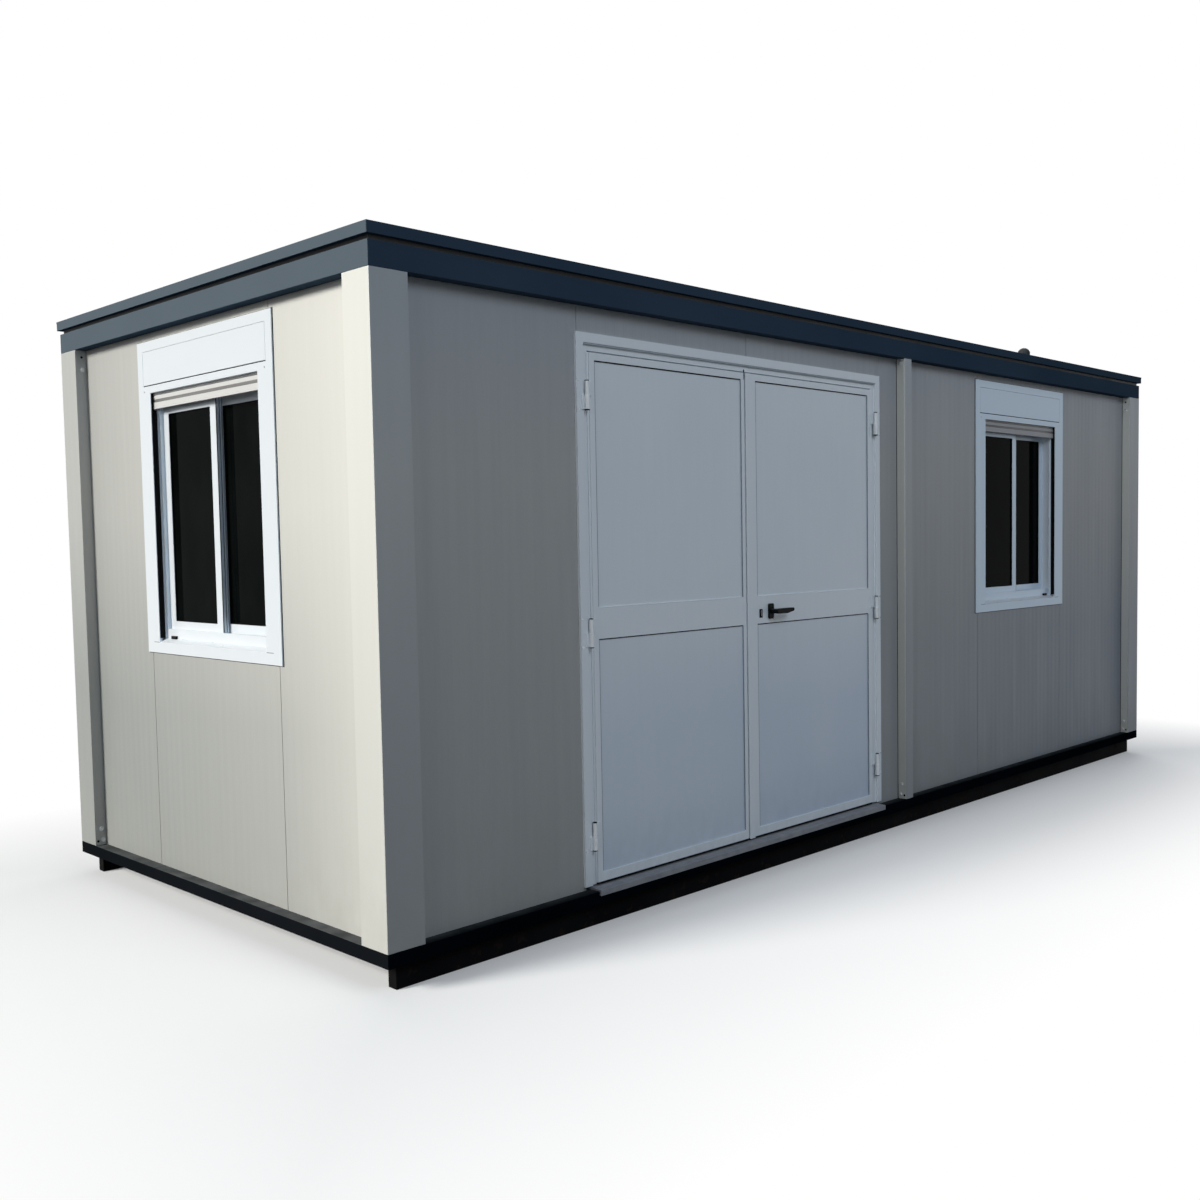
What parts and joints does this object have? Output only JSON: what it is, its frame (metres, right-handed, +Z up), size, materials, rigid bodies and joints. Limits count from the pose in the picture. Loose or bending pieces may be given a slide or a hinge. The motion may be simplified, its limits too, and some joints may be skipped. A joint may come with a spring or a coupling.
{
  "type": "portable site cabin",
  "caption": "Flat-roofed portable site cabin on skids, with ribbed wall panels, corner posts, a steel double door and sliding windows under shutter boxes.",
  "frame": {"origin": "on the ground under the middle of the floor", "axes": "+X along the cabin to the right as seen facing the door side, +Y from the door side to the rear, +Z up"},
  "size_m": [6.02, 2.4, 2.598],
  "materials": {
    "skid_steel": "satin",
    "anthracite": "satin",
    "galvanised": "matt",
    "floor_board": "matt",
    "post_white": "satin",
    "ceiling_board": "matt",
    "roof_sheet": "satin",
    "dark_plastic": "matt",
    "panel_white": "satin",
    "door_white": "satin",
    "infill_white": "satin",
    "threshold_metal": "satin",
    "black_plastic": "satin",
    "window_white": "satin",
    "slat_grey": "satin",
    "glass": "clear"
  },
  "bodies": {
    "cabin": {"ceiling": "ceiling_board", "corner_post_front_left": "post_white", "corner_post_front_right": "post_white", "corner_post_rear_left": "post_white", "corner_post_rear_right": "post_white", "door_frame": "door_white", "door_hinge_pins": "door_white", "door_threshold": "threshold_metal", "end_base_beams": "anthracite", "end_shutter_slats": "slat_grey", "end_top_beams": "anthracite", "end_window_cover": "window_white", "end_window_frame": "window_white", "end_window_glass": "glass", "end_window_sashes": "window_white", "floor_deck": "floor_board", "floor_joists": "galvanised", "front_shutter_slats": "slat_grey", "front_wall_panels": "panel_white", "front_window_cover": "window_white", "front_window_frame": "window_white", "front_window_glass": "glass", "front_window_panel": "panel_white", "front_window_sashes": "window_white", "left_wall_panels": "panel_white", "left_window_panel": "panel_white", "long_base_beams": "anthracite", "long_top_beams": "anthracite", "mid_posts": "post_white", "rear_wall_panels": "panel_white", "right_wall_panels": "panel_white", "roof_panel": "roof_sheet", "roof_rim_trim": "anthracite", "roof_vent": "dark_plastic", "shutter_boxes": "window_white", "shutter_plates": "window_white", "skids": "skid_steel"},
    "left_leaf": {"left_leaf_frame": "door_white", "left_leaf_infill": "infill_white"},
    "right_leaf": {"right_leaf_frame": "door_white", "right_leaf_infill": "infill_white", "meeting_strip": "door_white", "lever_roses": "black_plastic", "lock_cylinder": "black_plastic"},
    "lever": {"door_lever": "black_plastic"}
  },
  "joints": [
    {"name": "left_door", "type": "hinge", "parent": "cabin", "child": "left_leaf", "pos_m": [-2.03, -1.16, 1.162], "axis": [0, 0, -1], "range_deg": [0, 170]},
    {"name": "right_door", "type": "hinge", "parent": "cabin", "child": "right_leaf", "pos_m": [-0.092, -1.16, 1.162], "axis": [0, 0, 1], "range_deg": [0, 170]},
    {"name": "door_lever", "type": "hinge", "parent": "right_leaf", "child": "lever", "pos_m": [-0.92, -1.128, 1.141], "axis": [0, 1, 0], "range_deg": [0, 45], "stiffness_Nm_per_rad": 0.5, "springref_deg": -17.19}
  ]
}
